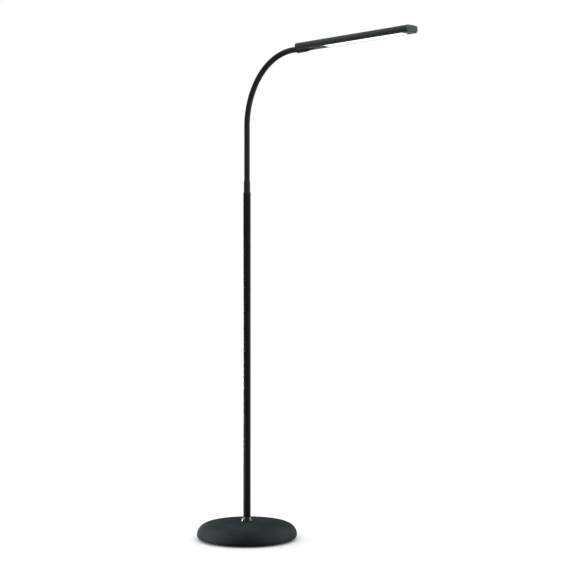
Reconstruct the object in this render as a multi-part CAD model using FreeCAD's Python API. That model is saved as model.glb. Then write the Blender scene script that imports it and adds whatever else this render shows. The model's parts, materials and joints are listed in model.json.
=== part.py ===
"""Gooseneck reading floor lamp, in millimetres.

The origin is the centre of the foot on the floor, +Z is up and the lamp head
points along +X. A weighted round base carries a straight pole. From the ring
on the pole's top, a ferrule holds a flexible neck, which rises, bends over in
two arcs and ends level in the boss under the rear of a slim bar-shaped head.
The neck is a chain of short armour links inside a smooth sleeve. Each link has a
tongue below and a fork above, turned a quarter, so it bends and sways in turn.
"""
import FreeCAD
import Part
import math
import os

V = FreeCAD.Vector

# ---- clearances -----------------------------------------------------------
SLIP = 0.1                # round pieces that slide into each other
THREAD_FIT = 0.05         # threaded pieces, drawn plain
HINGE_GAP = 0.3           # a link's tongue on its trunnions and in its fork
EDGE_GAP = 0.15           # flush plates inside their frames

# ---- base -----------------------------------------------------------------
BASE_R = 125.0            # widest circle of the cover
BASE_WIDEST_Z = 11.0
BASE_H = 44.5             # flat seat in the middle of the dome
RIM_TUCK = 10.0           # the cover's lower edge lies this far under its widest circle
SHOULDER_IN = 19.0        # the shoulder circle lies this far inside the widest circle
SHOULDER_DROP = 6.5       # and this far below the seat
COVER_WALL = 2.4
MAT_MARGIN = 23.0         # from the cover's lower edge in to the mat
MAT_H = 4.0
PLATE_T = 1.5
WEIGHT_MARGIN = 16.4      # from the plate's edge in to the weight
WEIGHT_T = 18.0
HUB_R = 26.0
HUB_STEP = 12.5
HUB_DRAFT = 6.0           # height of the hub's bevelled top
BASE_SCREWS = 4
BASE_SCREW_D = 3.8
BASE_SCREW_L = 14.0
SCREW_BOSS_WALL = 2.5
PILOT_SPARE = 1.0         # a pilot hole runs this far past its screw
INLET_Z = 12.0
INLET_R = 5.0
INLET_FLANGE_R = 6.6
INLET_FLANGE_L = 8.0
INLET_CHAMFER = 0.5
INLET_PROUD = 1.3
INLET_L = 22.0
JACK_D = 5.8
JACK_DEPTH = 9.0
JACK_PIN_D = 2.0
PIN_SHORT = 1.5           # the pin ends this far inside the face
LEAD_R = 2.0
LEAD_BEND_R = 8.0
CHANNEL_W = 6.0

# ---- pole -----------------------------------------------------------------
POLE_R = 9.3
POLE_WALL = 1.2
COLLAR_R = 13.2
COLLAR_H = 10.5
RING_R = 9.5
RING_H = 6.5
RING_STEM = 24.0
POLE_TOP_Z = 866.0        # upper face of the ring on the pole
STUD_R = 7.0
STUD_BORE_R = 3.2
STUD_END_GAP = 0.5
PLUG_L = 30.0
STUD_SHORT = 2.0          # the stud ends this far below the plug's top
NUT_H = 8.0
NUT_AF = 24.0
NUT_CROWN = 1.5
WASHER_T = 1.5
WASHER_R = 15.0

# ---- ferrule and neck -----------------------------------------------------
FERRULE_R = 8.0
FERRULE_H = 30.0
FERRULE_TAPER = 8.0
FERRULE_TOP_R = 7.5
FERRULE_STEM_R = 6.8
FERRULE_STEM = 20.0
NECK_R = 7.0
SLEEVE_WALL = 0.85
SLEEVE_GRIP = 12.0        # sleeve length inside the ferrule and inside the boss
NECK_STRAIGHT = 134.8     # from the ferrule to the first arc
ARC_1_R = 183.5
ARC_1_DEG = 33.5
ARC_2_R = 158.2           # the second arc ends level
NECK_LEVEL = 24.1         # level run before the head
JOINTS = 16
FIRST_JOINT = 6.0         # from the ferrule, and from the head, to the end joints
TONGUE_R = 4.2
TONGUE_HALF = 3.2
TONGUE_L = 5.8            # from the hinge to the link's waist
WAIST_HALF = 4.4          # half across the flats of the octagonal waist
FORK_HALF = 5.3           # and of the fork
FORK_L = 8.0
EAR_R = 4.4
TRUNNION_R = 1.1
TRUNNION_REACH = 2.3      # the trunnions stop this far from the middle
TRUNNION_ROOT = 1.0       # and are rooted this deep in the ears
LINK_BORE_R = 1.9
STEM_R = 5.5
NECK_LEAD_R = 1.1

# ---- head -----------------------------------------------------------------
HEAD_L = 350.0
HEAD_H = 16.5
BOTTOM_HALF = 14.8        # flat underside
BELLY_HALF = 18.9         # widest part of the sides
BELLY_Z = 7.6
CREST_HALF = 17.0         # where the side meets the arched top
CREST_Z = 15.5
CREST_ROUND = 2.0
HEAD_WALL = 1.6
NECK_AXIS_H = 4.0         # the neck's axis above the underside
LIP = 1.4                 # rim of the housing beside the diffuser
REAR_COVER_L = 86.5
NOSE = 19.5
DIFFUSER_RECESS = 0.5
DIFFUSER_T = 1.2
FLANGE_T = 1.0
FLANGE_W = 0.6
BOSS_R = 9.3
BOSS_BACK = 8.0           # the boss reaches this far behind the head
BOSS_EDGE = 0.6
BOSS_STRAIGHT = 17.0
BOSS_MID_U = 39.0         # here the boss's round turns into its hollow tail
BOSS_MID_R = 6.0
BOSS_TAIL_U = 62.0
BOSS_TAIL_R = 3.1
BOSS_SWELL = 0.35         # how far the round and the tail swing off straight
TIP_STEM = 30.0
TIP_LEAD = 2.0            # lead past the end of the boss
GRUB_D = 3.0
GRUB_L = 2.5
GRUB_U = 22.0
GRUB_BITE = 0.5           # how far the screw goes into the stem's flat
FLAT_DEPTH = 0.6
BOARD_Z = 8.4
BOARD_T = 1.2
SPREADER_T = 1.6
BOARD_HALF = 11.0
BOARD_INSET = 8.0         # the LED board starts this far past the rear cover
BOARD_NOSE = 6.0          # and ends this far before the end of the diffuser
SPREADER_LEG = 1.0        # the spreader's sides reach this far below the board
SPREADER_HALF = 13.0
RIB_Y = 8.0
RIB_T = 1.2
LED_COLUMNS = 18          # in each of two rows
LED_L = 3.5
LED_W = 2.8
LED_T = 0.8
LED_ROW_Y = 5.5
CONTROL_U = 48.0
CONTROL_L = 35.0
CONTROL_HALF = 7.5
CHIP_U = 66.0
CHIP_L = 6.0
CHIP_W = 5.0
CHIP_T = 1.6
INDUCTOR_U = 77.0
INDUCTOR_R = 3.0
INDUCTOR_T = 3.0
PAD_U = 66.0
PAD_R = 7.0
PAD_SINK = 2.0            # from the top of the head to the pad's underside
FOAM_R = 4.0
HEAD_SCREW_D = 2.3
HEAD_SCREW_L = 7.0
HEAD_SCREW_U = (44.0, 82.0)
HEAD_SCREW_IN = 2.9       # from the opening's edge in to the screws
POST_R = 2.5

# ---- sizes that follow ----------------------------------------------------
RIM_R = BASE_R - RIM_TUCK
SHOULDER_R = BASE_R - SHOULDER_IN
SHOULDER_Z = BASE_H - SHOULDER_DROP
MAT_R = RIM_R - MAT_MARGIN
PLATE_TOP = MAT_H + PLATE_T
PLATE_R = RIM_R - COVER_WALL - 2 * SLIP
WEIGHT_R = PLATE_R - WEIGHT_MARGIN
BASE_SCREW_R = (WEIGHT_R + PLATE_R) / 2
WEIGHT_TOP = PLATE_TOP + WEIGHT_T
SEAT_Z = BASE_H - COVER_WALL              # under the middle of the dome
BORE_TOP = SEAT_Z - HUB_STEP + WASHER_T   # ceiling of the weight's counterbore
NUT_TOP = BORE_TOP - WASHER_T
NUT_BOTTOM = NUT_TOP - NUT_H
INLET_FACE_X = -BASE_R - INLET_PROUD
STUD_BOTTOM = INLET_Z + LEAD_BEND_R + STUD_END_GAP
STUD_TOP = BASE_H + PLUG_L - STUD_SHORT
POLE_BORE_R = POLE_R - POLE_WALL
RING_Z = POLE_TOP_Z - RING_H
FERRULE_TOP = POLE_TOP_Z + FERRULE_H
FERRULE_FOOT = POLE_TOP_Z - FERRULE_STEM
SLEEVE_START = FERRULE_TOP - SLEEVE_GRIP
ARC_2_DEG = 90.0 - ARC_1_DEG
NECK_L = (NECK_STRAIGHT + math.radians(ARC_1_DEG) * ARC_1_R
          + math.radians(ARC_2_DEG) * ARC_2_R + NECK_LEVEL)
PITCH = (NECK_L - 2 * FIRST_JOINT) / (JOINTS - 1)
SLOT_HALF = TONGUE_HALF + HINGE_GAP
SLOT_DEPTH = TONGUE_R + 2 * HINGE_GAP
JOIN = 0.6                # overlap where a link's parts run into each other
LIP_Z = HEAD_WALL
RIB_Z = BOARD_Z + BOARD_T + SPREADER_T
OPENING_HALF = BOTTOM_HALF - LIP
HEAD_SCREW_Y = OPENING_HALF - HEAD_SCREW_IN
DIFFUSER_END = HEAD_L - NOSE
BOARD_START = REAR_COVER_L + BOARD_INSET
BOARD_END = DIFFUSER_END - BOARD_NOSE
PAD_Z = HEAD_H - PAD_SINK


# ---- small helpers --------------------------------------------------------
def tube(outer, inner, low, high):
    """A ring or tube standing on z = low."""
    body = Part.makeCylinder(outer, high - low, V(0, 0, low))
    if inner > 0:
        body = body.cut(Part.makeCylinder(inner, high - low, V(0, 0, low)))
    return body


def disc(radius, centre, facing_to):
    return Part.Face(Part.Wire(Part.makeCircle(radius, centre, facing_to)))


def outline(start, *steps):
    """A closed face in the XZ plane: a step is a point, or a pair (through, to)."""
    here = V(start[0], 0, start[1])
    first = here
    edges = []
    for step in steps:
        if isinstance(step[0], tuple):
            through, to = (V(p[0], 0, p[1]) for p in step)
            edges.append(Part.Arc(here, through, to).toShape())
        else:
            to = V(step[0], 0, step[1])
            edges.append(Part.LineSegment(here, to).toShape())
        here = to
    edges.append(Part.LineSegment(here, first).toShape())
    return Part.Face(Part.Wire(edges))


def turned(start, *steps):
    """A solid of revolution about Z from an outline."""
    return outline(start, *steps).revolve(V(0, 0, 0), V(0, 0, 1), 360)


def lying(shape):
    """Turn a piece made along +Z so that it lies along +X."""
    turned_shape = shape.copy()
    turned_shape.rotate(V(0, 0, 0), V(0, 1, 0), 90)
    return turned_shape


def placed(shape, x, y, z):
    moved = shape.copy()
    moved.translate(V(x, y, z))
    return moved


def save(name, shape):
    os.makedirs("parts", exist_ok=True)
    shape.exportStep("parts/%s.step" % name)


# ---- base -----------------------------------------------------------------
def cover_points(inset):
    """Points of the cover's profile, smaller by the inset, with one on each arc."""
    rim_r = RIM_R - inset
    wide_r = BASE_R - inset
    shoulder_r = SHOULDER_R - 0.35 * inset
    shoulder_z = SHOULDER_Z - 0.94 * inset
    top = BASE_H - inset
    on_rim = (rim_r + 0.78 * (wide_r - rim_r), MAT_H + 0.3 * (BASE_WIDEST_Z - MAT_H))
    on_shoulder = (shoulder_r + 0.66 * (wide_r - shoulder_r),
                   BASE_WIDEST_Z + 0.66 * (shoulder_z - BASE_WIDEST_Z))
    on_dome = ((shoulder_r + COLLAR_R) / 2, shoulder_z + 0.76 * (top - shoulder_z))
    return [(rim_r, MAT_H), on_rim, (wide_r, BASE_WIDEST_Z), on_shoulder,
            (shoulder_r, shoulder_z), on_dome, (COLLAR_R, top), (0, top)]


def cover_form(inset):
    """The base cover's form: rolled rim, round shoulder, low dome."""
    rim, on_rim, wide, on_shoulder, shoulder, on_dome, seat, middle = cover_points(inset)
    return turned((0, MAT_H), rim, (on_rim, wide), (on_shoulder, shoulder), (on_dome, seat), middle)


def cover_hollow():
    """The hollow under the cover: straight-sided, where nothing shows."""
    return turned((0, MAT_H), *cover_points(COVER_WALL))


def base_screw_places():
    for i in range(BASE_SCREWS):
        angle = math.radians(45 + 360 * i / BASE_SCREWS)
        yield BASE_SCREW_R * math.cos(angle), BASE_SCREW_R * math.sin(angle)


def base_cover():
    shell = cover_form(0).cut(cover_hollow())
    boss_r = BASE_SCREW_D / 2 + SCREW_BOSS_WALL
    pilot_r = BASE_SCREW_D / 2 + THREAD_FIT
    for x, y in base_screw_places():
        boss = Part.makeCylinder(boss_r, BASE_H - PLATE_TOP, V(x, y, PLATE_TOP))
        shell = shell.fuse(boss.common(cover_form(COVER_WALL / 2)))
    for x, y in base_screw_places():
        pilot = Part.makeCylinder(pilot_r, BASE_SCREW_L + PILOT_SPARE, V(x, y, MAT_H))
        shell = shell.cut(pilot)
    shell = shell.cut(Part.makeCylinder(STUD_R + SLIP, BASE_H))
    hole = lying(Part.makeCylinder(INLET_R + SLIP, BASE_R))
    return shell.cut(placed(hole, -BASE_R - INLET_PROUD, 0, INLET_Z)).removeSplitter()


def base_plate():
    plate = tube(PLATE_R, 0, MAT_H, PLATE_TOP)
    for x, y in base_screw_places():
        sink = Part.makeCone(BASE_SCREW_D + SLIP, BASE_SCREW_D / 2 + SLIP, PLATE_T, V(x, y, MAT_H))
        plate = plate.cut(sink)
    return plate


def base_weight():
    hub_low = SEAT_Z - HUB_DRAFT
    body = turned((0, PLATE_TOP), (WEIGHT_R - 2, PLATE_TOP), (WEIGHT_R, PLATE_TOP + 2),
                  (WEIGHT_R, WEIGHT_TOP - 3), (WEIGHT_R - 3, WEIGHT_TOP),
                  (HUB_R, WEIGHT_TOP), (HUB_R, hub_low), (COLLAR_R, SEAT_Z), (0, SEAT_Z))
    body = body.cut(Part.makeCylinder(STUD_R + SLIP, SEAT_Z))
    body = body.cut(Part.makeCylinder(WASHER_R + 2, BORE_TOP - PLATE_TOP, V(0, 0, PLATE_TOP)))
    channel = Part.makeBox(WEIGHT_R, CHANNEL_W, INLET_Z + CHANNEL_W / 2 - PLATE_TOP,
                           V(-WEIGHT_R, -CHANNEL_W / 2, PLATE_TOP))
    return body.cut(channel)


def base_screws():
    """Countersunk screws that hold the plate under the cover."""
    screws = []
    for x, y in base_screw_places():
        head = Part.makeCone(BASE_SCREW_D, BASE_SCREW_D / 2, PLATE_T, V(x, y, MAT_H))
        shank = Part.makeCylinder(BASE_SCREW_D / 2, BASE_SCREW_L, V(x, y, MAT_H))
        screws.append(head.fuse(shank).removeSplitter())
    return Part.makeCompound(screws)


def power_inlet():
    """Jack socket in the back of the base, with a flange shaped to the cover."""
    edge_r = INLET_FLANGE_R - INLET_CHAMFER
    flange = turned((0, 0), (edge_r, 0), (INLET_FLANGE_R, INLET_CHAMFER),
                    (INLET_FLANGE_R, INLET_FLANGE_L), (0, INLET_FLANGE_L))
    flange = placed(lying(flange), INLET_FACE_X, 0, INLET_Z).cut(cover_form(0))
    barrel = placed(lying(Part.makeCylinder(INLET_R, INLET_L)), INLET_FACE_X, 0, INLET_Z)
    hole = placed(lying(Part.makeCylinder(JACK_D / 2, JACK_DEPTH)), INLET_FACE_X, 0, INLET_Z)
    return barrel.fuse(flange).cut(hole).removeSplitter()


def inlet_pin():
    pin = lying(Part.makeCylinder(JACK_PIN_D / 2, JACK_DEPTH - PIN_SHORT))
    return placed(pin, INLET_FACE_X + PIN_SHORT, 0, INLET_Z)


def base_lead():
    """Internal lead: from the inlet through the weight's channel and up the pole."""
    start_x = INLET_FACE_X + INLET_L
    level = lying(Part.makeCylinder(LEAD_R, -LEAD_BEND_R - start_x))
    level = placed(level, start_x, 0, INLET_Z)
    section = disc(LEAD_R, V(-LEAD_BEND_R, 0, INLET_Z), V(1, 0, 0))
    bend_top = INLET_Z + LEAD_BEND_R
    bend = section.revolve(V(-LEAD_BEND_R, 0, bend_top), V(0, -1, 0), 90)
    rise = Part.makeCylinder(LEAD_R, FERRULE_FOOT - bend_top, V(0, 0, bend_top))
    return level.fuse(bend).fuse(rise)


# ---- pole -----------------------------------------------------------------
def prism(sides, half_across, length):
    """A bar with flat sides along +Z, with flats square to X where the sides are even."""
    r = half_across / math.cos(math.pi / sides)
    turns = [math.pi * (2 * i + 1) / sides for i in range(sides + 1)]
    corners = [V(r * math.cos(t), r * math.sin(t), 0) for t in turns]
    return Part.Face(Part.makePolygon(corners)).extrude(V(0, 0, length))


def pole_nut():
    """Hexagon nut, crowned below, bored to its thread."""
    half = NUT_AF / 2
    block = prism(6, half, NUT_H)
    keep = turned((0, 0), (half - 0.4, 0), (half + 2.6, NUT_CROWN), (half + 2.6, NUT_H), (0, NUT_H))
    block = block.common(keep).cut(tube(STUD_R + THREAD_FIT, 0, 0, NUT_H))
    return placed(block, 0, 0, NUT_BOTTOM)


def pole_collar():
    """Flared collar that hides the joint of pole and base."""
    inner = POLE_R + SLIP
    return turned((inner, BASE_H), (COLLAR_R - 0.6, BASE_H), (COLLAR_R, BASE_H + 0.8),
                  (POLE_R + 2.3, BASE_H + 0.3 * COLLAR_H), (POLE_R + 1.1, BASE_H + 0.66 * COLLAR_H),
                  (POLE_R + 0.5, BASE_H + COLLAR_H), (inner, BASE_H + COLLAR_H))


def pole_top_ring():
    """Plug in the top of the pole with a proud ring, tapped for the ferrule."""
    ring = turned((0, RING_Z), (RING_R - 0.3, RING_Z), (RING_R, RING_Z + 0.3),
                  (RING_R, POLE_TOP_Z - 0.8), (RING_R - 0.8, POLE_TOP_Z), (0, POLE_TOP_Z))
    body = ring.fuse(tube(POLE_BORE_R - THREAD_FIT, 0, RING_Z - RING_STEM, RING_Z))
    bore = Part.makeCylinder(FERRULE_STEM_R + THREAD_FIT, RING_H + RING_STEM,
                             V(0, 0, RING_Z - RING_STEM))
    return body.cut(bore).removeSplitter()


def neck_ferrule():
    """Screws into the ring, and grips the sleeve with its tapered mouth."""
    body = turned((0, POLE_TOP_Z), (FERRULE_R, POLE_TOP_Z),
                  (FERRULE_R, FERRULE_TOP - FERRULE_TAPER), (FERRULE_TOP_R, FERRULE_TOP),
                  (0, FERRULE_TOP))
    body = body.fuse(tube(FERRULE_STEM_R, 0, FERRULE_FOOT, POLE_TOP_Z))
    bore = Part.makeCylinder(STEM_R + THREAD_FIT, FERRULE_STEM + FERRULE_H, V(0, 0, FERRULE_FOOT))
    body = body.cut(bore)
    grip = Part.makeCylinder(NECK_R + SLIP, SLEEVE_GRIP, V(0, 0, SLEEVE_START))
    return body.cut(grip).removeSplitter()


# ---- neck -----------------------------------------------------------------
def neck_point(s):
    """Point and lean from vertical, at length s along the neck from the ferrule."""
    if s <= NECK_STRAIGHT:
        return V(0, 0, FERRULE_TOP + s), 0.0
    x, z = 0.0, FERRULE_TOP + NECK_STRAIGHT
    s -= NECK_STRAIGHT
    lean = 0.0
    for radius, degrees in ((ARC_1_R, ARC_1_DEG), (ARC_2_R, ARC_2_DEG)):
        turn = min(math.radians(degrees), s / radius)
        x += radius * (math.cos(lean) - math.cos(lean + turn))
        z += radius * (math.sin(lean + turn) - math.sin(lean))
        lean += turn
        s -= radius * turn
    return V(x + s, 0, z), math.degrees(lean)


def joint_place(k):
    """Point of joint k, and the neck's lean there."""
    return neck_point(FIRST_JOINT + k * PITCH)


def at_joint(shape, k):
    """Move a piece from the origin to joint k, upright along the neck's line."""
    point, lean = joint_place(k)
    shape.rotate(V(0, 0, 0), V(0, 1, 0), lean)
    shape.translate(point)
    return shape


def bends(k):
    """True where joint k bends up and down, False where it sways."""
    return k % 2 == 1


def along_neck(radius, before, after):
    """A round rod on the neck's own line, with straight ends before and after it."""
    body = Part.makeCylinder(radius, before + NECK_STRAIGHT, V(0, 0, FERRULE_TOP - before))
    s = NECK_STRAIGHT
    for bend_r, degrees in ((ARC_1_R, ARC_1_DEG), (ARC_2_R, ARC_2_DEG)):
        point, lean = neck_point(s)
        tilt = math.radians(lean)
        centre = point + V(math.cos(tilt), 0, -math.sin(tilt)) * bend_r
        section = disc(radius, point, V(math.sin(tilt), 0, math.cos(tilt)))
        body = body.fuse(section.revolve(centre, V(0, 1, 0), degrees))
        s += bend_r * math.radians(degrees)
    point = neck_point(s)[0]
    level = Part.makeCylinder(radius, NECK_LEVEL + after, point, V(1, 0, 0))
    return body.fuse(level)


def neck_sleeve():
    outer = along_neck(NECK_R, SLEEVE_GRIP, SLEEVE_GRIP)
    return outer.cut(along_neck(NECK_R - SLEEVE_WALL, SLEEVE_GRIP, SLEEVE_GRIP))


def facing(shape, k):
    """Turn a piece made with its hinge along Y so that it suits joint k."""
    if not bends(k):
        shape.rotate(V(0, 0, 0), V(0, 0, 1), 90)
    return shape


def tongue(k):
    """Tongue of joint k, rounded about the hinge and holed for the trunnions."""
    width = 2 * TONGUE_HALF
    round_end = Part.makeCylinder(TONGUE_R, width, V(0, -TONGUE_HALF, 0), V(0, 1, 0))
    block = Part.makeBox(2 * TONGUE_R, width, TONGUE_L + JOIN, V(-TONGUE_R, -TONGUE_HALF, 0))
    hole = Part.makeCylinder(TRUNNION_R + HINGE_GAP, width, V(0, -TONGUE_HALF, 0), V(0, 1, 0))
    return at_joint(facing(round_end.fuse(block).cut(hole), k), k)


def fork(k):
    """Fork of joint k: octagonal bar with a slot, rounded ears and two short trunnions."""
    bar = placed(prism(8, FORK_HALF, FORK_L + EAR_R), 0, 0, -FORK_L)
    width = 2 * FORK_HALF
    ears = Part.makeCylinder(EAR_R, width, V(0, -FORK_HALF, 0), V(0, 1, 0))
    block = Part.makeBox(width, width, FORK_L, V(-FORK_HALF, -FORK_HALF, -FORK_L))
    slot = Part.makeBox(width, 2 * SLOT_HALF, SLOT_DEPTH + EAR_R,
                        V(-FORK_HALF, -SLOT_HALF, -SLOT_DEPTH))
    body = bar.common(ears.fuse(block)).cut(slot)
    reach = SLOT_HALF + TRUNNION_ROOT - TRUNNION_REACH
    for side in (-1, 1):
        start = V(0, side * TRUNNION_REACH, 0)
        body = body.fuse(Part.makeCylinder(TRUNNION_R, reach, start, V(0, side, 0)))
    return at_joint(facing(body, k), k)


def neck_link(k):
    """Armour link k: a tongue below, a waist and a fork above, bored for the lead."""
    low = joint_place(k)[0]
    along = joint_place(k + 1)[0] - low
    waist = placed(prism(8, WAIST_HALF, PITCH - FORK_L - TONGUE_L + JOIN), 0, 0, TONGUE_L)
    bore = tube(LINK_BORE_R, 0, -TONGUE_R - JOIN, PITCH + JOIN)
    lean = math.degrees(math.atan2(along.x, along.z))
    for piece in (waist, bore):
        piece.rotate(V(0, 0, 0), V(0, 1, 0), lean)
        piece.translate(low)
    return tongue(k).fuse(waist).fuse(fork(k + 1)).cut(bore).removeSplitter()


def neck_anchor():
    """The stem in the ferrule, with the fork that carries the first link."""
    joint_z = joint_place(0)[0].z
    stem = tube(STEM_R, 0, FERRULE_FOOT, joint_z - FORK_L)
    bore = tube(LINK_BORE_R, 0, FERRULE_FOOT, joint_z)
    return stem.fuse(fork(0)).cut(bore).removeSplitter()


def neck_tip():
    """The tongue and stem that the head is clamped on."""
    k = JOINTS - 1
    stem_end = FIRST_JOINT + TIP_STEM
    stem = tube(STEM_R, 0, TONGUE_L, stem_end)
    flat_place = V(STEM_R - FLAT_DEPTH, 0, FIRST_JOINT + GRUB_U)
    flat = Part.makeCylinder(GRUB_D / 2 + SLIP, STEM_R, flat_place, V(1, 0, 0))
    stem = at_joint(stem.cut(flat), k)
    bore = at_joint(tube(LINK_BORE_R, 0, -TONGUE_R - JOIN, stem_end), k)
    return tongue(k).fuse(stem).cut(bore).removeSplitter()


# ---- head -----------------------------------------------------------------
HEAD_END = neck_point(NECK_L)[0]          # rear of the head, on the neck's axis


def head_section():
    """Cross-section of the head in the YZ plane: flat below, round sides, arched top."""
    def p(y, z):
        return V(0, y, z)

    right = Part.Arc(p(BOTTOM_HALF, 0), p(BELLY_HALF, BELLY_Z), p(CREST_HALF, CREST_Z))
    top = Part.Arc(p(CREST_HALF, CREST_Z), p(0, HEAD_H), p(-CREST_HALF, CREST_Z))
    left = Part.Arc(p(-CREST_HALF, CREST_Z), p(-BELLY_HALF, BELLY_Z), p(-BOTTOM_HALF, 0))
    floor = Part.LineSegment(p(-BOTTOM_HALF, 0), p(BOTTOM_HALF, 0))
    return Part.Wire([edge.toShape() for edge in (right, top, left, floor)])


def head_bar(margin):
    """The head's solid bar, smaller by the margin on every side."""
    wire = head_section()
    if margin > 0:
        wire = wire.makeOffset2D(-margin)
    bar = Part.Face(wire).extrude(V(HEAD_L - 2 * margin, 0, 0))
    return placed(bar, margin, 0, 0)


def head_outer():
    bar = head_bar(0)
    crest = [e for e in bar.Edges
             if e.BoundBox.XLength > HEAD_L / 2 and e.BoundBox.ZMax > BELLY_Z]
    return bar.makeFillet(CREST_ROUND, crest)


def on_neck_axis(shape):
    """Lay a piece made along +Z on the neck's axis, from the rear of the head."""
    return placed(lying(shape), 0, 0, NECK_AXIS_H)


def head_rib(u_low, u_high, y):
    """Rib under the housing's roof, down to the heat spreader."""
    place = V(u_low, y - RIB_T / 2, RIB_Z)
    return Part.makeBox(u_high - u_low, RIB_T, HEAD_H - RIB_Z, place)


def head_screw_places():
    for u in HEAD_SCREW_U:
        for side in (-1, 1):
            yield u, side * HEAD_SCREW_Y


def head_housing():
    shell = head_outer().cut(head_bar(HEAD_WALL))
    slot = Part.makeBox(DIFFUSER_END - HEAD_WALL, 2 * OPENING_HALF, 2 * LIP_Z,
                        V(HEAD_WALL, -OPENING_HALF, -LIP_Z / 2))
    shell = shell.cut(slot)
    low = LIP_Z + FLANGE_T
    roots = [Part.makeCylinder(POST_R, HEAD_H - low, V(u, y, low)) for u, y in head_screw_places()]
    for side in (-1, 1):
        roots.append(head_rib(BOARD_START, BOARD_END, side * RIB_Y))
        roots.append(head_rib(CONTROL_U, CONTROL_U + CONTROL_L, side * (CONTROL_HALF - RIB_T)))
    inside = head_bar(HEAD_WALL / 2)
    for rib in roots:
        shell = shell.fuse(rib.common(inside))
    pilot_r = HEAD_SCREW_D / 2 + THREAD_FIT
    for u, y in head_screw_places():
        shell = shell.cut(Part.makeCylinder(pilot_r, HEAD_SCREW_L + PILOT_SPARE, V(u, y, 0)))
    shell = shell.cut(Part.makeCylinder(PAD_R + SLIP, HEAD_H, V(PAD_U, 0, RIB_Z)))
    mouth = on_neck_axis(tube(BOSS_R + SLIP, 0, 0, HEAD_WALL))
    return shell.cut(mouth).removeSplitter()


def neck_boss():
    """Round boss for the neck, which runs out in a slender tail under the cover."""
    mid = (BOSS_MID_R, BOSS_MID_U)
    tail = (BOSS_TAIL_R, BOSS_TAIL_U)
    on_round = ((BOSS_R + BOSS_MID_R) / 2 + BOSS_SWELL, (BOSS_STRAIGHT + BOSS_MID_U) / 2)
    on_tail = ((BOSS_MID_R + BOSS_TAIL_R) / 2 - BOSS_SWELL, (BOSS_MID_U + BOSS_TAIL_U) / 2)
    body = turned((0, -BOSS_BACK), (BOSS_R - BOSS_EDGE, -BOSS_BACK), (BOSS_R, BOSS_EDGE - BOSS_BACK),
                  (BOSS_R, BOSS_STRAIGHT), (on_round, mid), (on_tail, tail), (0, BOSS_TAIL_U))
    return on_neck_axis(body)


def rear_cover():
    """Underside cover of the head's rear, moulded with the boss for the neck."""
    edge = HEAD_WALL + EDGE_GAP
    half = OPENING_HALF - EDGE_GAP
    length = REAR_COVER_L - edge
    plate = Part.makeBox(length, 2 * half, LIP_Z, V(edge, -half, 0))
    flange_half = OPENING_HALF + FLANGE_W
    flange = Part.makeBox(length, 2 * flange_half, FLANGE_T, V(edge, -flange_half, LIP_Z))
    cover = plate.fuse(flange).fuse(neck_boss())
    bores = [on_neck_axis(tube(NECK_R + SLIP, 0, -BOSS_BACK, SLEEVE_GRIP)),
             on_neck_axis(tube(STEM_R + THREAD_FIT, 0, 0, TIP_STEM)),
             on_neck_axis(tube(NECK_LEAD_R + SLIP, 0, 0, BOSS_TAIL_U + TIP_LEAD)),
             Part.makeCylinder(GRUB_D / 2 + THREAD_FIT, BOSS_R, V(GRUB_U, 0, NECK_AXIS_H - BOSS_R))]
    for u, y in head_screw_places():
        bores.append(Part.makeCone(HEAD_SCREW_D + SLIP, HEAD_SCREW_D / 2 + SLIP, LIP_Z, V(u, y, 0)))
        bores.append(Part.makeCylinder(HEAD_SCREW_D / 2 + SLIP, LIP_Z + FLANGE_T, V(u, y, 0)))
    for bore in bores:
        cover = cover.cut(bore)
    return cover.removeSplitter()


def diffuser():
    """Opal plate, slightly recessed, with a thin flange that lies on the rim."""
    half = OPENING_HALF - EDGE_GAP
    start = REAR_COVER_L + EDGE_GAP
    length = DIFFUSER_END - EDGE_GAP - start
    plate = Part.makeBox(length, 2 * half, LIP_Z - DIFFUSER_RECESS, V(start, -half, DIFFUSER_RECESS))
    flange_half = OPENING_HALF + FLANGE_W
    flange = Part.makeBox(length, 2 * flange_half, DIFFUSER_T, V(start, -flange_half, LIP_Z))
    return plate.fuse(flange).removeSplitter()


def led_places():
    step = (BOARD_END - BOARD_START) / LED_COLUMNS
    for side in (-1, 1):
        for column in range(LED_COLUMNS):
            yield BOARD_START + (column + 0.5) * step, side * LED_ROW_Y


def leds():
    low = BOARD_Z - LED_T
    chips = [Part.makeBox(LED_L, LED_W, LED_T, V(u - LED_L / 2, y - LED_W / 2, low))
             for u, y in led_places()]
    return Part.makeCompound(chips)


def led_board():
    place = V(BOARD_START, -BOARD_HALF, BOARD_Z)
    return Part.makeBox(BOARD_END - BOARD_START, 2 * BOARD_HALF, BOARD_T, place)


def heat_spreader():
    """Folded aluminium strip between the LED board and the housing's ribs."""
    length = BOARD_END - BOARD_START
    height = SPREADER_T + BOARD_T + SPREADER_LEG
    low = RIB_Z - height
    strip = Part.makeBox(length, 2 * SPREADER_HALF, height, V(BOARD_START, -SPREADER_HALF, low))
    between = SPREADER_HALF - SPREADER_T
    trough = Part.makeBox(length, 2 * between, height - SPREADER_T, V(BOARD_START, -between, low))
    return strip.cut(trough)


def control_board():
    """Dimmer board under the touch pad, with its chip and inductor."""
    low = RIB_Z - BOARD_T
    board = Part.makeBox(CONTROL_L, 2 * CONTROL_HALF, BOARD_T, V(CONTROL_U, -CONTROL_HALF, low))
    chip = Part.makeBox(CHIP_L, CHIP_W, CHIP_T, V(CHIP_U, -CHIP_W / 2, low - CHIP_T))
    inductor = Part.makeCylinder(INDUCTOR_R, INDUCTOR_T, V(INDUCTOR_U, 0, low - INDUCTOR_T))
    return board.fuse(chip).fuse(inductor)


def touch_pad():
    """Touch spot set flush in the top of the housing."""
    return Part.makeCylinder(PAD_R, HEAD_H, V(PAD_U, 0, PAD_Z)).common(head_outer())


def touch_foam():
    return Part.makeCylinder(FOAM_R, PAD_Z - RIB_Z, V(PAD_U, 0, RIB_Z))


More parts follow.
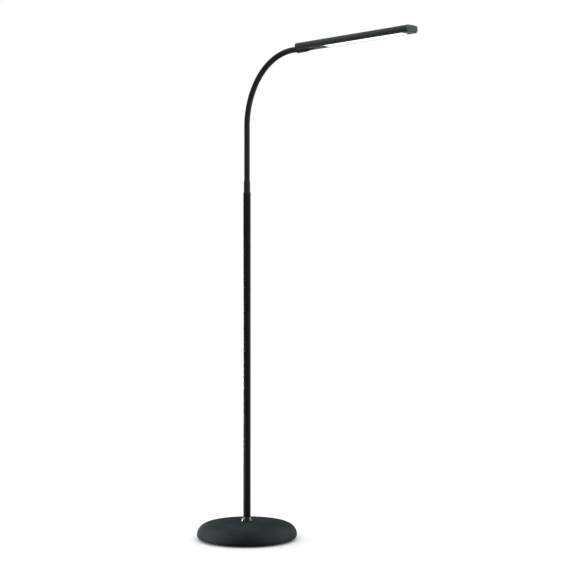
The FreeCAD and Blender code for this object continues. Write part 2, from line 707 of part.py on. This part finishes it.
def head_screws():
    screws = []
    for u, y in head_screw_places():
        head = Part.makeCone(HEAD_SCREW_D, HEAD_SCREW_D / 2, LIP_Z, V(u, y, 0))
        screws.append(head.fuse(Part.makeCylinder(HEAD_SCREW_D / 2, HEAD_SCREW_L, V(u, y, 0))))
    return Part.makeCompound(screws)


def neck_grub_screw():
    low = NECK_AXIS_H - STEM_R + GRUB_BITE - GRUB_L
    return Part.makeCylinder(GRUB_D / 2, GRUB_L, V(GRUB_U, 0, low))


# ---- the whole lamp -------------------------------------------------------
def build():
    nodes = {
        "foot_mat": tube(MAT_R, 0, 0, MAT_H),
        "base_plate": base_plate(),
        "base_weight": base_weight(),
        "base_cover": base_cover(),
        "base_screws": base_screws(),
        "power_inlet": power_inlet(),
        "inlet_pin": inlet_pin(),
        "base_lead": base_lead(),
        "pole_stud": tube(STUD_R, STUD_BORE_R, STUD_BOTTOM, STUD_TOP),
        "pole_nut": pole_nut(),
        "pole_washer": tube(WASHER_R, STUD_R + SLIP, NUT_TOP, BORE_TOP),
        "pole_plug": tube(POLE_BORE_R - THREAD_FIT, STUD_R + THREAD_FIT, BASE_H, BASE_H + PLUG_L),
        "pole_collar": pole_collar(),
        "pole_tube": tube(POLE_R, POLE_BORE_R, BASE_H, RING_Z),
        "pole_top_ring": pole_top_ring(),
        "neck_ferrule": neck_ferrule(),
        "neck_anchor": neck_anchor(),
        "neck_sleeve": neck_sleeve(),
        "neck_lead": along_neck(NECK_LEAD_R, FERRULE_H + FERRULE_STEM, BOSS_TAIL_U + TIP_LEAD),
        "neck_tip": neck_tip(),
    }
    for k in range(JOINTS - 1):
        nodes["neck_link_%02d" % (k + 1)] = neck_link(k)
    head = {
        "head_housing": head_housing(),
        "rear_cover": rear_cover(),
        "diffuser": diffuser(),
        "led_board": led_board(),
        "leds": leds(),
        "heat_spreader": heat_spreader(),
        "control_board": control_board(),
        "touch_pad": touch_pad(),
        "touch_foam": touch_foam(),
        "head_screws": head_screws(),
        "neck_grub_screw": neck_grub_screw(),
    }
    for name, shape in head.items():
        nodes[name] = placed(shape, HEAD_END.x, 0, HEAD_END.z - NECK_AXIS_H)
    return nodes


def main():
    for name, shape in build().items():
        if not shape.isValid():
            print("not valid:", name)
        if len(shape.Solids) == 1:
            shape = shape.Solids[0]
        print("%-16s %2d solids %10.0f mm3" % (name, len(shape.Solids), shape.Volume))
        save(name, shape)
    print("neck %.1f mm, joints every %.2f mm" % (NECK_L, PITCH))
    print("head rear at x %.1f, z %.1f" % (HEAD_END.x, HEAD_END.z))


main()
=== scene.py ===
# %% [markdown]
# # A gooseneck reading floor lamp
# The lamp is a weighted round base, a straight pole, a flexible neck and a slim bar-shaped
# head with an opal light panel below. The construction model gives every hard piece its
# place and size. This lesson dresses it: it models the pieces whose surface needs more than
# that model holds, and gives each piece the finish of the real one.

# %% Load the construction model
import bpy
import bmesh
import cmath
import json
import math
from mathutils import Matrix, Vector

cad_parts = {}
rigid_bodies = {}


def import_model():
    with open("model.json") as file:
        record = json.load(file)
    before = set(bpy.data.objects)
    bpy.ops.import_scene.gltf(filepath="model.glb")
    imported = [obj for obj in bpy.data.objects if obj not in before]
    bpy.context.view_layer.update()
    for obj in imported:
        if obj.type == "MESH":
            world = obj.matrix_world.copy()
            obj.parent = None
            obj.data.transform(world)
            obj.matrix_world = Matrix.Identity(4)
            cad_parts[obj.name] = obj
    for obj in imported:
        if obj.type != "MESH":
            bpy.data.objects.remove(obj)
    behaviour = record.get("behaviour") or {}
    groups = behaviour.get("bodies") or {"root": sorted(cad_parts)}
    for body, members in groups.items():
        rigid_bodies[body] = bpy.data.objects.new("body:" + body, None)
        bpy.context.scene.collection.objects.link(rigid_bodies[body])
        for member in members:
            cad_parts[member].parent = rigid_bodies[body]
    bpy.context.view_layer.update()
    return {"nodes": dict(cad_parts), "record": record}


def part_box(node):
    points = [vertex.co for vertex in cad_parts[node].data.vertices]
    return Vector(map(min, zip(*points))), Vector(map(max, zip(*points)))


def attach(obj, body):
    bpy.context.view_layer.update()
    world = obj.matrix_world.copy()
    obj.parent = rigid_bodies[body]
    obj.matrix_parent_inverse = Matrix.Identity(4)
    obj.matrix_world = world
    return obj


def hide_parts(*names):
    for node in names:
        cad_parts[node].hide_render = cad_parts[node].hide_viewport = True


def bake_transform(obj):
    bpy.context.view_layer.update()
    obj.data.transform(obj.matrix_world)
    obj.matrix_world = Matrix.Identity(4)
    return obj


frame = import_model()
MM = 0.001

# %% [markdown]
# ## The camera
# The photograph was taken with a level camera: the pole stands exactly upright in it. The
# head's long edges converge, and the base is a flat ellipse, so the lens is about 87 mm on a
# full frame, 3.5 m away, a little above half the lamp's height. It looks past the pole's
# right side, half-way round to the head's front.

# %% Place the camera
CAMERA_DISTANCE = 3.5
CAMERA_HEIGHT = 0.647
CAMERA_ASIDE = 0.1025
CAMERA_TURN = math.radians(45)
CAMERA_LENS_MM = 87.5
SENSOR_MM = 36
PICTURE_SHIFT = -8 / 576
FAR_CLIP = 50
LEVEL = math.radians(90)
towards = Vector((math.cos(CAMERA_TURN), -math.sin(CAMERA_TURN), 0))
aside = Vector((math.sin(CAMERA_TURN), math.cos(CAMERA_TURN), 0))

camera_data = bpy.data.cameras.new("camera")
camera_data.lens = CAMERA_LENS_MM
camera_data.sensor_width = SENSOR_MM
camera_data.shift_y = PICTURE_SHIFT
camera_data.clip_end = FAR_CLIP
camera = bpy.data.objects.new("camera", camera_data)
camera.location = (towards * CAMERA_DISTANCE + aside * CAMERA_ASIDE
                   + Vector((0, 0, CAMERA_HEIGHT)))
camera.rotation_euler = (LEVEL, 0, CAMERA_TURN)
bpy.context.collection.objects.link(camera)
bpy.context.scene.camera = camera
print("camera at", [round(c, 3) for c in camera.location])

# %% [markdown]
# ## Colour and node helpers
# Finishes are written as sRGB hex, the way a paint chip is read from a screen. Shaders
# work in linear light, so one function turns the one into the other. A second small
# function adds a node with its settings and links.

# %% Helpers for finishes
def linear(hex_colour):
    """An sRGB hex colour as linear RGBA."""
    def channel(value):
        return value / 12.92 if value <= 0.04045 else ((value + 0.055) / 1.055) ** 2.4
    parts = [int(hex_colour[i:i + 2], 16) / 255 for i in (1, 3, 5)]
    return (*[channel(p) for p in parts], 1.0)


def add_node(tree, kind, links=None, **settings):
    """Adds a node, sets its inputs or properties by name, and links named inputs."""
    node = tree.nodes.new(kind)
    for name, value in settings.items():
        if name in node.inputs:
            node.inputs[name].default_value = value
        else:
            setattr(node, name, value)
    for name, source in (links or {}).items():
        tree.links.new(source, node.inputs[name])
    return node


def new_finish(name, colour, roughness, metallic=0.0, ior=1.5, specular=0.5):
    """A material with a Principled shader set for its base finish."""
    material = bpy.data.materials.new(name)
    material.use_nodes = True
    shader = material.node_tree.nodes["Principled BSDF"]
    shader.inputs["Base Color"].default_value = linear(colour)
    shader.inputs["Roughness"].default_value = roughness
    shader.inputs["Metallic"].default_value = metallic
    shader.inputs["IOR"].default_value = ior
    shader.inputs["Specular IOR Level"].default_value = specular
    return material, material.node_tree, shader


def object_space(tree):
    return tree.nodes.new("ShaderNodeTexCoord").outputs["Object"]


print("white is", linear("#ffffff"))

# %% [markdown]
# ## Grain and tint
# No real surface is one flat colour. A moulded or coated skin has a fine grain that breaks
# up its highlight, and it is a little lighter and duller where it is handled or dusty. Both
# come from noise at a real size: the grain from noise a fraction of a millimetre wide, the
# tint from slow noise some centimetres wide.

# %% Grain and tint
GRAIN_DETAIL = 3.0
TINT_DETAIL = 4.0
TINT_BAND = (0.35, 0.65)
ROUGH_BAND = (0.3, 0.7)


def grain(tree, shader, size_mm, height_mm, strength):
    """Bump from fine noise of a real grain size."""
    noise = add_node(tree, "ShaderNodeTexNoise", {"Vector": object_space(tree)},
                     Scale=1000 / size_mm, Detail=GRAIN_DETAIL)
    bump = add_node(tree, "ShaderNodeBump", {"Height": noise.outputs["Fac"]},
                    Strength=strength, Distance=height_mm * MM)
    tree.links.new(bump.outputs["Normal"], shader.inputs["Normal"])
    return noise


def tint(tree, shader, dark, light, size_mm, rough_low, rough_high):
    """Slow variation of colour and roughness between two close values."""
    noise = add_node(tree, "ShaderNodeTexNoise", {"Vector": object_space(tree)},
                     Scale=1000 / size_mm, Detail=TINT_DETAIL)
    ramp = add_node(tree, "ShaderNodeValToRGB", {"Fac": noise.outputs["Fac"]})
    for stop, place, colour in zip(ramp.color_ramp.elements, TINT_BAND, (dark, light)):
        stop.position = place
        stop.color = linear(colour)
    tree.links.new(ramp.outputs["Color"], shader.inputs["Base Color"])
    spread = add_node(tree, "ShaderNodeMapRange", {"Value": noise.outputs["Fac"]},
                      **{"From Min": ROUGH_BAND[0], "From Max": ROUGH_BAND[1],
                         "To Min": rough_low, "To Max": rough_high})
    tree.links.new(spread.outputs["Result"], shader.inputs["Roughness"])


print("grain and tint ready")

# %% [markdown]
# ## The finishes
# The base is a moulded ABS cover with a satin skin that leans to slate. The pole is steel
# with a satin black powder coat, which has a faint orange peel. The neck wears a smooth
# silicone sleeve, which is matte. The head is an aluminium bar with a satin dark grey coat.
# The light panel is opal acrylic, and glows evenly.

# %% Finishes that show
def satin_abs():
    """Moulded ABS with a fine spark-eroded texture: a broad soft highlight."""
    material, tree, shader = new_finish("satin_moulded_abs", "#383e40", 0.50, specular=0.0)
    tint(tree, shader, "#35393c", "#3b4245", 60, 0.46, 0.56)
    grain(tree, shader, 0.8, 0.03, 0.25)
    return material


def powder_coat(name, dark, light):
    """Satin black powder coat on steel tube: crisp edges of light, faint orange peel."""
    material, tree, shader = new_finish(name, light, 0.34, specular=0.02)
    tint(tree, shader, dark, light, 45, 0.30, 0.38)
    grain(tree, shader, 1.6, 0.006, 0.1)
    return material


def silicone_sleeve():
    """Silicone rubber over the armour: matte, with a faint dusty bloom at the edges."""
    material, tree, shader = new_finish("matte_silicone_sleeve", "#2d302f", 0.55, ior=1.41,
                                        specular=0.03)
    tint(tree, shader, "#2a2d2c", "#303332", 30, 0.50, 0.62)
    shader.inputs["Sheen Weight"].default_value = 0.05
    shader.inputs["Sheen Roughness"].default_value = 0.5
    grain(tree, shader, 0.5, 0.008, 0.1)
    return material


def gloss_black():
    """Polished black ABS: the small collar shows sharp highlights."""
    material, tree, shader = new_finish("polished_black_abs", "#0c0c0d", 0.12, specular=0.2)
    tint(tree, shader, "#0b0b0b", "#0f0f10", 20, 0.09, 0.15)
    grain(tree, shader, 2.5, 0.01, 0.1)
    return material


def satin_head_coat():
    """Satin dark grey coat on an aluminium bar: pale where it faces the light."""
    material, tree, shader = new_finish("satin_grey_coat_on_aluminium", "#43494b", 0.50,
                                        specular=0.04)
    tint(tree, shader, "#404648", "#464d4f", 50, 0.46, 0.54)
    grain(tree, shader, 0.7, 0.002, 0.05)
    return material


def black_moulding():
    """Matte black ABS under the head and round the inlet."""
    material, tree, shader = new_finish("matte_black_moulding", "#1b1d1e", 0.5, specular=0.03)
    tint(tree, shader, "#191b1c", "#1e2021", 25, 0.46, 0.56)
    grain(tree, shader, 0.6, 0.003, 0.08)
    return material


def opal_acrylic():
    """Opal acrylic, lit from inside: white all over, with a satin outer face."""
    material, tree, shader = new_finish("opal_acrylic", "#f6f7f5", 0.35, ior=1.49)
    tint(tree, shader, "#f4f5f3", "#f8f9f7", 15, 0.32, 0.40)
    shader.inputs["Emission Color"].default_value = linear("#fffefb")
    shader.inputs["Emission Strength"].default_value = 0.85
    grain(tree, shader, 1.2, 0.01, 0.1)
    return material


print("satin, powder coat, silicone, gloss, opal")

# %% [markdown]
# Inside and below, the lamp has plain working metals: a cast-iron weight with a rough
# sand-cast skin, a rolled steel plate, zinc plated screws, a brass contact and a folded
# aluminium heat spreader. They get honest finishes too, because a part is looked at open.

# %% Finishes inside
METAL_GRAIN = 0.35
METAL_SPREAD = 0.08


def metal(name, colour, roughness, size_mm, height_mm):
    """A bare metal with grain of a given size."""
    material, tree, shader = new_finish(name, colour, roughness, metallic=1.0)
    noise = grain(tree, shader, size_mm, height_mm, METAL_GRAIN)
    spread = add_node(tree, "ShaderNodeMapRange", {"Value": noise.outputs["Fac"]},
                      **{"To Min": roughness - METAL_SPREAD,
                         "To Max": roughness + METAL_SPREAD})
    tree.links.new(spread.outputs["Result"], shader.inputs["Roughness"])
    return material


def foam_rubber():
    """Closed-cell foam rubber, die-cut for the foot: dull, with fine pores."""
    material, tree, shader = new_finish("foam_rubber", "#151515", 0.85)
    tint(tree, shader, "#131313", "#1a1a1a", 12, 0.8, 0.9)
    grain(tree, shader, 0.9, 0.12, 0.6)
    return material


def solder_mask():
    """White solder mask over glass-fibre board."""
    material, tree, shader = new_finish("white_solder_mask", "#dfe3dd", 0.35)
    tint(tree, shader, "#dadfd8", "#e4e8e2", 8, 0.3, 0.4)
    grain(tree, shader, 0.4, 0.01, 0.2)
    return material


def phosphor():
    """Yellow phosphor gel in a white package."""
    material, tree, shader = new_finish("led_phosphor", "#e8d67a", 0.3, ior=1.41)
    tint(tree, shader, "#e2cf6e", "#eedd88", 2, 0.25, 0.35)
    return material


def cable_jacket():
    """PVC cable jacket, smooth and slightly shiny."""
    material, tree, shader = new_finish("pvc_jacket", "#141414", 0.4)
    tint(tree, shader, "#121212", "#181818", 15, 0.36, 0.46)
    return material


finishes = {
    "base_satin": satin_abs(),
    "pole_black": powder_coat("satin_black_powder_coat", "#212122", "#262627"),
    "collar_gloss": gloss_black(),
    "neck_sleeve": silicone_sleeve(),
    "ferrule": powder_coat("dark_grey_powder_coat", "#303131", "#363737"),
    "head_satin": satin_head_coat(),
    "cover_black": black_moulding(),
    "diffuser": opal_acrylic(),
    "steel": metal("rolled_steel", "#a5a5a2", 0.38, 1.5, 0.01),
    "iron": metal("sand_cast_iron", "#4a4947", 0.7, 2.2, 0.25),
    "mat": foam_rubber(),
    "board": solder_mask(),
    "led": phosphor(),
    "alu": metal("mill_finish_aluminium", "#c9cacc", 0.35, 1.2, 0.01),
    "zinc": metal("zinc_plate", "#b9bab4", 0.3, 0.8, 0.01),
    "brass": metal("turned_brass", "#c9a55c", 0.25, 0.6, 0.01),
    "lead": cable_jacket(),
    "foam": foam_rubber(),
}
print(len(finishes), "finishes")

# %% [markdown]
# Each construction piece names the finish that it takes, so dressing them is one loop.

# %% Dress the construction pieces
slot_of = {part["node"]: part["material_slot"] for part in frame["record"]["subparts"]}
for name, piece in frame["nodes"].items():
    piece.data.materials.clear()
    piece.data.materials.append(finishes[slot_of[name]])
print("dressed", len(frame["nodes"]), "pieces")

# %% [markdown]
# ## The neck's line
# The neck stands straight out of its ferrule, then bends over in two arcs, the second a
# little tighter, and runs level into the head. One function gives the point and the lean
# at any length along it, so the sleeve and the lead inside share the same line.

# %% The neck's line
joints = [j for j in frame["record"]["behaviour"]["joints"] if j["name"].startswith("neck_")]
hinge_points = [Vector(j["pos_m"]) for j in joints]
NECK_R = 7.0 * MM
SLEEVE_WALL = 0.85 * MM
FERRULE_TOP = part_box("neck_ferrule")[1][2]
NECK_STRAIGHT = 134.8 * MM
ARCS = ((183.5 * MM, math.radians(33.5)), (158.2 * MM, math.radians(56.5)))
NECK_LEVEL = 24.1 * MM
NECK_LENGTH = NECK_STRAIGHT + sum(radius * turn for radius, turn in ARCS) + NECK_LEVEL
FIRST_JOINT = hinge_points[0].z - FERRULE_TOP
PITCH = (NECK_LENGTH - 2 * FIRST_JOINT) / (len(joints) - 1)


def neck_place(s):
    """The matrix that puts a ring in the XY plane on the neck's line at length s."""
    x, z, lean = 0.0, FERRULE_TOP + min(s, NECK_STRAIGHT), 0.0
    left = max(s - NECK_STRAIGHT, 0.0)
    for radius, turn in ARCS:
        step = min(turn, left / radius)
        x += radius * (math.cos(lean) - math.cos(lean + step))
        z += radius * (math.sin(lean + step) - math.sin(lean))
        lean += step
        left -= radius * step
    return Matrix.Translation((x + left, 0, z)) @ Matrix.Rotation(lean, 4, "Y")


print("neck", round(NECK_LENGTH / MM, 1), "mm, hinge every", round(PITCH / MM, 2), "mm")

# %% [markdown]
# ## The sleeve
# The sleeve is one smooth tube along the neck's line. A mesh can bend between two bodies only,
# so the tube is made in lengths, one for each hinge, that meet half-way between hinges. Each
# starts as a flat ring, which is extruded again and again and moved along the line, the way a
# hose comes off its die.

# %% A length of tube along the neck
SAME_PLACE = 0.000001
TUBE_SIDES = 64
TUBE_STEP = 2.2 * MM
BALL_REACH = math.radians(17)
BALL_STEPS = 5


def finish_mesh(bm, name, material, smooth_angle=40):
    """Turns a bmesh into an object with outward faces and sharp rims."""
    bmesh.ops.remove_doubles(bm, verts=bm.verts, dist=SAME_PLACE)
    bmesh.ops.recalc_face_normals(bm, faces=bm.faces)
    for face in bm.faces:
        face.smooth = True
    for edge in bm.edges:
        edge.smooth = not (len(edge.link_faces) == 2
                           and edge.calc_face_angle(0) > math.radians(smooth_angle))
    mesh = bpy.data.meshes.new(name)
    bm.to_mesh(mesh)
    bm.free()
    mesh.materials.append(material)
    piece = bpy.data.objects.new(name, mesh)
    bpy.context.collection.objects.link(piece)
    return piece


def grown(bm, cap, hop, keep=False):
    """Extrudes the faces of cap, moves the copy by hop, and gives the copy's faces."""
    out = bmesh.ops.extrude_face_region(bm, geom=cap, use_keep_orig=keep)
    moved = [v for v in out["geom"] if isinstance(v, bmesh.types.BMVert)]
    bmesh.ops.transform(bm, matrix=hop, verts=moved)
    return [f for f in out["geom"] if isinstance(f, bmesh.types.BMFace)]


def neck_tube(name, outer, inner, low, high, material, ball=False):
    """A tube, or a rod where inner is 0, between two lengths along the neck.

    With ball set, it goes on past high as part of a ball, which the next tube turns about.
    """
    bm = bmesh.new()
    bmesh.ops.create_circle(bm, segments=TUBE_SIDES, radius=outer, cap_ends=inner == 0)
    if inner > 0:
        bmesh.ops.create_circle(bm, segments=TUBE_SIDES, radius=inner, cap_ends=False)
        bmesh.ops.bridge_loops(bm, edges=bm.edges)
    bmesh.ops.transform(bm, matrix=neck_place(low), verts=bm.verts)
    count = max(1, round((high - low) / TUBE_STEP))
    cap = list(bm.faces)
    for i in range(count):
        here, there = (low + (high - low) * n / count for n in (i, i + 1))
        hop = neck_place(there) @ neck_place(here).inverted()
        cap = grown(bm, cap, hop, keep=i == 0)
    for i in range(BALL_STEPS if ball else 0):
        turned, turn = (BALL_REACH * n / BALL_STEPS for n in (i, i + 1))
        here, there = high + outer * math.sin(turned), high + outer * math.sin(turn)
        share = math.cos(turn) / math.cos(turned)
        hop = (neck_place(there) @ Matrix.Diagonal((share, share, 1, 1))
               @ neck_place(here).inverted())
        cap = grown(bm, cap, hop)
    return finish_mesh(bm, name, material)


# %% [markdown]
# Each length is made in place on the neck's line and left there, tied to neither link, so the
# neck has no corners as it stands. At two of the sixteen hinges a length that turns smoothly
# would land in the wrong place when all joints are at their limits, because the turning point
# is found with too few digits. There two stiff lengths meet in a ball instead, one carried by
# the link before the hinge and one by the link after it.

# %% The sleeve and its lead, hinge by hinge
SLEEVE_GRIP = 12.0 * MM
STIFF_HINGES = ("neck_upper_bend_2", "neck_upper_bend_5")
LEAD_R = 1.1 * MM
LEAD_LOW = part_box("neck_lead")[0][2] - FERRULE_TOP
LEAD_HIGH = NECK_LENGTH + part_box("neck_lead")[1][0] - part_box("head_housing")[0][0]


def neck_piece(node):
    """Hides a node, so that the lengths made in its place stand in for it."""
    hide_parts(node)


def neck_lengths(name, outer, inner, low, high, material, node):
    """Bends a row of tubes, one across each hinge, in place of one node."""
    last = len(joints) - 1
    for k, joint in enumerate(joints):
        middle = FIRST_JOINT + k * PITCH
        start = middle - PITCH / 2 if k > 0 else low
        end = middle + PITCH / 2 if k < last else high
        label = "%s_%02d" % (name, k + 1)
        if joint["name"] in STIFF_HINGES:
            before = neck_tube(label + "_a", outer, inner, start, middle, material, ball=True)
            after = neck_tube(label + "_b", outer, inner, middle, end, material)
            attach(before, joint["parent"])
            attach(after, joint["child"])
            neck_piece(node)
            neck_piece(node)
            continue
        tube = neck_tube(label, outer, inner, start, end, material)
        turn_from = max(start, middle - PITCH / 2, 0.0)
        turn_to = min(end, middle + PITCH / 2, NECK_LENGTH)
        neck_place(turn_from).translation
        neck_place(turn_to).translation
        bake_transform(tube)
        neck_piece(node)
    print(name, "in", len(joints), "lengths")


neck_lengths("sleeve", NECK_R, NECK_R - SLEEVE_WALL, -SLEEVE_GRIP, NECK_LENGTH + SLEEVE_GRIP,
             finishes["neck_sleeve"], "neck_sleeve")
neck_lengths("lead", LEAD_R, 0.0, LEAD_LOW, LEAD_HIGH, finishes["lead"], "neck_lead")

# %% [markdown]
# ## A turned cover
# The base cover is round, and catches long smooth reflections that the construction model's
# facets would break. It is spun from its profile. A profile is a row of points, radius and
# height, and a run between two of them may bulge through a third as an arc.

# %% A lathe
LATHE_SIDES = 192
LATHE_SMOOTH = 32


def arc(start, through, end, steps=14):
    """Points of the circle through three points, after the first."""
    a, b, c = (complex(*point) for point in (start, through, end))
    w = (c - a) / (b - a)
    centre = (b - a) * (w - abs(w) ** 2) / (2j * w.imag) + a
    turn = cmath.phase((c - centre) / (a - centre))
    if cmath.phase((b - centre) / (a - centre)) * turn < 0:
        turn -= math.copysign(2 * math.pi, turn)
    spots = [centre + (a - centre) * cmath.exp(1j * turn * (i + 1) / steps)
             for i in range(steps)]
    return [(spot.real, spot.imag) for spot in spots]


def spun(name, profile, material):
    """A closed ring of points in millimetres, radius and height, spun about the pole."""
    bm = bmesh.new()
    verts = [bm.verts.new((x * MM, 0, z * MM)) for x, z in profile]
    edges = [bm.edges.new((verts[i], verts[i - 1])) for i in range(len(verts))]
    bmesh.ops.spin(bm, geom=verts + edges, cent=(0, 0, 0), axis=(0, 0, 1),
                   angle=2 * math.pi, steps=LATHE_SIDES, use_merge=True)
    return finish_mesh(bm, name, material, smooth_angle=LATHE_SMOOTH)


quarter = arc((1, 0), (0.707, 0.707), (0, 1), 3)
print("arc of a quarter:", [tuple(round(c, 2) for c in point) for point in quarter])

# %% [markdown]
# The cover's rim rolls under, its shoulder is one full round, and the low dome runs into it
# with no crease. Its wall is 2.4 mm all over.

# %% The base cover
WALL = 2.4
RIM_FOOT = (115.0, 4.0)
RIM_SIDE = (125.0, 11.0)
SHOULDER_TOP = (107.4, 36.9)
DOME_EDGE = (95.0, 40.3)
DOME_TOP = 44.5
COLLAR_SEAT_R = 13.2
POLE_HOLE_R = 7.1
outer = [RIM_FOOT, *arc(RIM_FOOT, (122.8, 6.1), RIM_SIDE),
         *arc(RIM_SIDE, (118.9, 28.8), SHOULDER_TOP, 24),
         *arc(SHOULDER_TOP, (101.5, 39.1), DOME_EDGE, 10),
         *arc(DOME_EDGE, (60.0, 43.0), (COLLAR_SEAT_R, DOME_TOP), 20),
         (POLE_HOLE_R, DOME_TOP)]
inner = [(POLE_HOLE_R, DOME_TOP - WALL), (COLLAR_SEAT_R, DOME_TOP - WALL), (59.5, 43.0 - WALL),
         (94.6, 40.3 - WALL), (105.8, 36.2 - WALL), (116.9, 27.5), (122.6, 11.0),
         (120.4, 6.6), (112.6, 4.0)]
base = spun("base_shell", outer + inner, finishes["base_satin"])
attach(base, "stand")
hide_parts("base_cover")
print("base shell", len(base.data.polygons), "faces")

# %% [markdown]
# ## The studio
# The photograph has a pure white ground with a faint soft shadow round the foot. The world is
# white paper to the camera and in reflections, and a plainer white to the surfaces it lights.
# The floor is treated the same way. To sight it glows, and ambient occlusion dims the glow
# where the lamp stands close over it: a painted soft shadow round the foot. It also takes a
# little real light with its real shadow, so it comes out white. To the surfaces round it, it
# is plain grey.

# %% World and floor
WHITE = (1, 1, 1, 1)
SKY_LIGHT = 0.18
FLOOR_GREY = (0.2, 0.2, 0.2, 1)
FLOOR_SHEET = (0.2, 0.205, 0.215, 1)
FLOOR_GLOW = 0.93
# How far the painted shadow reaches: within this distance ambient occlusion dims the floor's
# glow.
SHADOW_REACH = 0.35
FLOOR_HALF = 8.0


def to_sight(tree):
    """1 for camera, glossy and transmission rays, 0 for the light that surfaces receive."""
    path = tree.nodes.new("ShaderNodeLightPath")
    seen = path.outputs["Is Camera Ray"]
    for ray in ("Is Glossy Ray", "Is Transmission Ray"):
        either = add_node(tree, "ShaderNodeMath", {0: seen, 1: path.outputs[ray]},
                          operation="MAXIMUM")
        seen = either.outputs[0]
    return seen


world = bpy.data.worlds.new("white_studio")
bpy.context.scene.world = world
world.use_nodes = True
tree = world.node_tree
plain = tree.nodes["Background"]
plain.inputs["Color"].default_value = WHITE
plain.inputs["Strength"].default_value = SKY_LIGHT
paper_white = add_node(tree, "ShaderNodeBackground", Color=WHITE, Strength=1.0)
mixed = add_node(tree, "ShaderNodeMixShader", {0: to_sight(tree), 1: plain.outputs[0],
                                               2: paper_white.outputs[0]})
tree.links.new(mixed.outputs[0], tree.nodes["World Output"].inputs["Surface"])

paper = bpy.data.materials.new("white_paper_floor")
paper.use_nodes = True
tree = paper.node_tree
tree.nodes.remove(tree.nodes["Principled BSDF"])
plain = add_node(tree, "ShaderNodeBsdfDiffuse", Color=FLOOR_GREY)
sheet = add_node(tree, "ShaderNodeBsdfDiffuse", Color=FLOOR_SHEET)
# Ambient occlusion dims the floor's glow near the lamp: a painted soft shadow round the foot,
# added to the real shadow that the sheet takes.
painted_shadow_mask = add_node(tree, "ShaderNodeAmbientOcclusion", Distance=SHADOW_REACH)
glow = add_node(tree, "ShaderNodeEmission", {"Color": painted_shadow_mask.outputs["Color"]},
                Strength=FLOOR_GLOW)
lit = add_node(tree, "ShaderNodeAddShader", {0: sheet.outputs[0], 1: glow.outputs[0]})
mixed = add_node(tree, "ShaderNodeMixShader", {0: to_sight(tree), 1: plain.outputs[0],
                                               2: lit.outputs[0]})
tree.links.new(mixed.outputs[0], tree.nodes["Material Output"].inputs["Surface"])
bm = bmesh.new()
bmesh.ops.create_grid(bm, x_segments=1, y_segments=1, size=FLOOR_HALF)
floor = finish_mesh(bm, "floor", paper)
print("white floor and world")

# %% [markdown]
# Five soft boxes light the lamp. Two low ones stand left and right, a little behind it, and
# draw pale edges down the pole. With a small one close to the base, they give the base its
# pale flanks with a dark front between them. One hangs just over the head, and shades it from
# pale at its crest to dark underneath. One faces the front end of the head. A faint wide sun
# lights all from above.

# %% Lamps
FOOT = Vector((0, 0, 0.2))
HEAD = Vector((0.36, 0, 1.2))
BROW = Vector((0.54, 0, 1.2))
RIM = (0, 0, 0.03)
SUN_LEAN = 0.25


def raised(height):
    return Vector((0, 0, height))


def add_lamp(data, place, aim):
    """Links a lamp at a place, turned to face along aim and out of the camera's sight."""
    lamp = bpy.data.objects.new(data.name, data)
    lamp.location = place
    lamp.rotation_euler = aim.to_track_quat("-Z", "Y").to_euler()
    lamp.visible_camera = False
    bpy.context.collection.objects.link(lamp)


def soft_box(name, place, target, width, height, power):
    """A flat rectangular lamp that faces its target."""
    data = bpy.data.lights.new(name, "AREA")
    data.shape = "RECTANGLE"
    data.size = width
    data.size_y = height
    data.energy = power
    add_lamp(data, place, Vector(target) - Vector(place))


soft_box("left_box", (-2.0, 0.4, 0.34), FOOT, 0.8, 0.6, 45)
soft_box("flank_box", -0.7 * aside + 0.05 * towards + raised(0.12), RIM, 0.2, 0.2, 5.2)
soft_box("right_box", -0.3 * towards + 2.2 * aside + raised(0.34), FOOT, 0.8, 0.6, 40)
soft_box("crest_box", HEAD + Vector((0, -0.16, 0.34)), HEAD, 0.5, 0.2, 2.1)
soft_box("brow_box", BROW + 0.38 * towards + 0.48 * aside + raised(0.08), BROW, 0.2, 0.2, 3.6)
sun = bpy.data.lights.new("sky", "SUN")
sun.energy = 0.4
sun.angle = math.radians(80)
add_lamp(sun, (0, 0, 0), -aside * SUN_LEAN - raised(1))
bpy.context.scene.view_settings.view_transform = "Standard"
print("five soft boxes and a sun")
